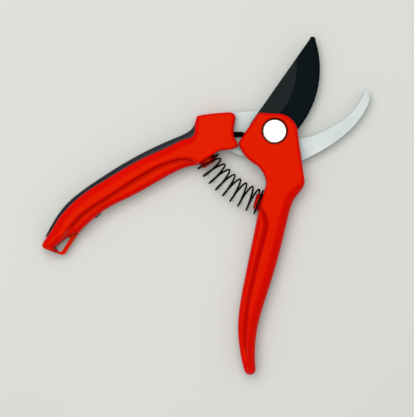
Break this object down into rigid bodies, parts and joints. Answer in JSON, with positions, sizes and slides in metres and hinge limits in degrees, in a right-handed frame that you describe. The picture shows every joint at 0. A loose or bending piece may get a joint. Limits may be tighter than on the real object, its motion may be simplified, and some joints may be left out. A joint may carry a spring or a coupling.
{
  "type": "bypass pruning shears",
  "caption": "Hand-held bypass pruning shears, open: a curved cutting blade passes a hooked counter blade, with sprung moulded grips and a slide lock.",
  "frame": {"origin": "on the pivot axis, in the plane of the grips' undersides", "axes": "+Z along the pivot axis towards the bright cap; +Y from the handles to the jaws, halfway between the two open handles; +X to the side of the grip that carries the cutting blade"},
  "size_m": [0.147, 0.1912, 0.0164],
  "materials": {
    "red_plastic": "moulded, fine grain",
    "soft_grip": "matt",
    "coated_blade": "non-stick coating, satin",
    "brushed_steel": "fine ground",
    "bright_steel": "bright",
    "plain_steel": "zinc plated",
    "black_spring_steel": "black oxide",
    "black_plastic": "moulded",
    "bronze": "plain",
    "white_plastic": "plain"
  },
  "bodies": {
    "hook_side": {"hook_blade": "brushed_steel", "hook_handle_upper_shell": "red_plastic", "hook_handle_lower_shell": "red_plastic", "palm_inlay": "soft_grip", "edge_plug": "soft_grip", "hook_shell_screws": "plain_steel", "hook_tang_pins": "plain_steel", "hook_spring_peg": "red_plastic", "pivot_bolt": "plain_steel", "pivot_cap": "bright_steel", "pivot_bush": "bronze", "bolt_washer": "white_plastic", "plain_washer": "plain_steel", "spring_washer": "plain_steel", "pivot_nut": "plain_steel", "nut_insert": "white_plastic", "return_spring": "black_spring_steel", "lock_detent_spring": "plain_steel"},
    "lock": {"lock_bar": "black_plastic", "lock_button": "black_plastic", "lock_button_screw": "plain_steel"},
    "blade_side": {"cutting_blade": "coated_blade", "blade_handle_upper_shell": "red_plastic", "blade_handle_lower_shell": "red_plastic", "blade_shell_screws": "plain_steel", "blade_tang_pins": "plain_steel", "blade_spring_peg": "red_plastic"}
  },
  "joints": [
    {"name": "handle_pivot", "type": "hinge", "parent": "hook_side", "child": "blade_side", "pos_m": [0, 0, 0.0097], "axis": [0, 0, -1], "range_deg": [0, 42.5], "stiffness_Nm_per_rad": 0.8, "springref_deg": -14.32, "deforming": ["return_spring"]},
    {"name": "lock_slide", "type": "slide", "parent": "hook_side", "child": "lock", "axis": [0.829, 0.5592, 0], "range_m": [0, 0.0055], "deforming": ["lock_detent_spring"]}
  ]
}
